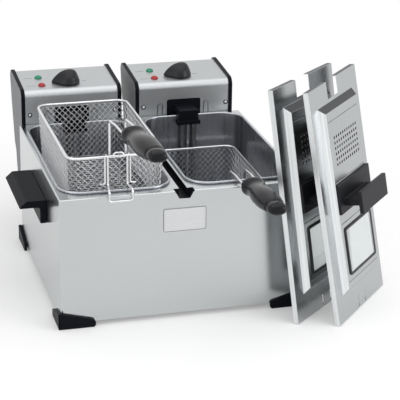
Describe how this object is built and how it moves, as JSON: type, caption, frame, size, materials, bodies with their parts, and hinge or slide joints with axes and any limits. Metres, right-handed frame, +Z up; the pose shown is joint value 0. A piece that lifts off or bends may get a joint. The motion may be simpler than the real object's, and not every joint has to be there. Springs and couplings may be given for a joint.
{
  "type": "deep fryer",
  "caption": "Twin-tank table-top deep fryer in brushed steel with rear control units, folding-handle wire baskets and two lids leaned at one side.",
  "frame": {"origin": "on the table, under the middle of the bounding box of the whole set, lids and basket grips included", "axes": "+X to the user's right along the front, +Y to the back where the control units hang, +Z up"},
  "size_m": [0.6034, 0.6964, 0.3805],
  "materials": {
    "brushed_steel": "brushed lengthwise, satin",
    "polished_steel": "drawn and polished",
    "chrome_wire": "chromed wire",
    "badge_steel": "fine brushed plate with an engraved border",
    "element_steel": "heat-darkened tube",
    "plated_steel": "zinc plated",
    "black_plastic": "satin heat-proof moulding",
    "grey_plastic": "satin moulding",
    "cream_plastic": "phenolic body",
    "green_lens": "clear tinted lens",
    "red_lens": "clear tinted lens",
    "window_glass": "clear heat-proof glass",
    "seal_rubber": "black silicone seal",
    "filter_pad": "charcoal felt pad"
  },
  "bodies": {
    "casing": {"casing": "brushed_steel", "base_plate": "plated_steel", "centre_channel": "black_plastic", "badge_plate": "badge_steel", "side_handle_left": "black_plastic", "side_handle_right": "black_plastic", "handle_screws": "plated_steel", "feet": "black_plastic", "foot_screws": "plated_steel"},
    "tank_left": {"tank_left": "polished_steel"},
    "unit_left": {"unit_cover_left": "brushed_steel", "unit_back_left": "plated_steel", "cheek_a_left": "grey_plastic", "cheek_b_left": "grey_plastic", "thermostat_left": "cream_plastic", "lamp_green_left": "green_lens", "lamp_red_left": "red_lens", "element_bracket_left": "black_plastic", "element_left": "element_steel", "sensor_left": "element_steel", "cord_gland_left": "black_plastic", "unit_screws_left": "plated_steel"},
    "knob_left": {"knob_left": "black_plastic"},
    "reset_left": {"reset_button_left": "black_plastic"},
    "basket_left": {"basket_mesh_left": "chrome_wire", "basket_rim_left": "chrome_wire", "basket_hook_left": "chrome_wire"},
    "basket_handle_left": {"basket_handle_left": "chrome_wire", "basket_grip_left": "black_plastic"},
    "tank_right": {"tank_right": "polished_steel"},
    "unit_right": {"unit_cover_right": "brushed_steel", "unit_back_right": "plated_steel", "cheek_a_right": "grey_plastic", "cheek_b_right": "grey_plastic", "thermostat_right": "cream_plastic", "lamp_green_right": "green_lens", "lamp_red_right": "red_lens", "element_bracket_right": "black_plastic", "element_right": "element_steel", "sensor_right": "element_steel", "cord_gland_right": "black_plastic", "unit_screws_right": "plated_steel"},
    "knob_right": {"knob_right": "black_plastic"},
    "reset_right": {"reset_button_right": "black_plastic"},
    "basket_right": {"basket_mesh_right": "chrome_wire", "basket_rim_right": "chrome_wire", "basket_hook_right": "chrome_wire"},
    "basket_handle_right": {"basket_handle_right": "chrome_wire", "basket_grip_right": "black_plastic"},
    "lid_a": {"lid_plate_a": "brushed_steel", "lid_glass_a": "window_glass", "lid_seal_a": "seal_rubber", "lid_filter_a": "filter_pad", "lid_handle_a": "black_plastic"},
    "lid_b": {"lid_plate_b": "brushed_steel", "lid_glass_b": "window_glass", "lid_seal_b": "seal_rubber", "lid_filter_b": "filter_pad", "lid_handle_b": "black_plastic"}
  },
  "joints": [
    {"name": "tank_left_lift", "type": "slide", "parent": "casing", "child": "tank_left", "axis": [0, 0, 1], "range_m": [0, 0.2]},
    {"name": "unit_left_lift", "type": "slide", "parent": "tank_left", "child": "unit_left", "axis": [0, 0, 1], "range_m": [0, 0.2]},
    {"name": "basket_left_lift", "type": "slide", "parent": "unit_left", "child": "basket_left", "axis": [0, 0, 1], "range_m": [0, 0.2]},
    {"name": "basket_left_handle_fold", "type": "hinge", "parent": "basket_left", "child": "basket_handle_left", "pos_m": [-0.15843, -0.124, 0.267], "axis": [-1, 0, 0], "range_deg": [0, 170]},
    {"name": "knob_left_turn", "type": "hinge", "parent": "unit_left", "child": "knob_left", "pos_m": [-0.16568, 0.2615, 0.27772], "axis": [0, -0.0732, 0.9973], "range_deg": [-270, 0]},
    {"name": "reset_left_press", "type": "slide", "parent": "unit_left", "child": "reset_left", "axis": [0, -0.9748, 0.2229], "range_m": [0, 0.003], "stiffness_N_per_m": 300, "springref_m": -0.002},
    {"name": "tank_right_lift", "type": "slide", "parent": "casing", "child": "tank_right", "axis": [0, 0, 1], "range_m": [0, 0.2]},
    {"name": "unit_right_lift", "type": "slide", "parent": "tank_right", "child": "unit_right", "axis": [0, 0, 1], "range_m": [0, 0.2]},
    {"name": "basket_right_lift", "type": "slide", "parent": "unit_right", "child": "basket_right", "axis": [0, 0, 1], "range_m": [0, 0.2]},
    {"name": "basket_right_handle_fold", "type": "hinge", "parent": "basket_right", "child": "basket_handle_right", "pos_m": [0.04457, -0.0965, 0.159], "axis": [-1, 0, 0], "range_deg": [0, 170]},
    {"name": "knob_right_turn", "type": "hinge", "parent": "unit_right", "child": "knob_right", "pos_m": [0.03832, 0.2615, 0.27772], "axis": [0, -0.0732, 0.9973], "range_deg": [-270, 0]},
    {"name": "reset_right_press", "type": "slide", "parent": "unit_right", "child": "reset_right", "axis": [0, -0.9748, 0.2229], "range_m": [0, 0.003], "stiffness_N_per_m": 300, "springref_m": -0.002},
    {"name": "lid_a_lift", "type": "slide", "parent": "casing", "child": "lid_a", "axis": [0, 0, 1], "range_m": [0, 0.4]},
    {"name": "lid_b_lift", "type": "slide", "parent": "lid_a", "child": "lid_b", "axis": [0, 0, 1], "range_m": [0, 0.4]}
  ]
}
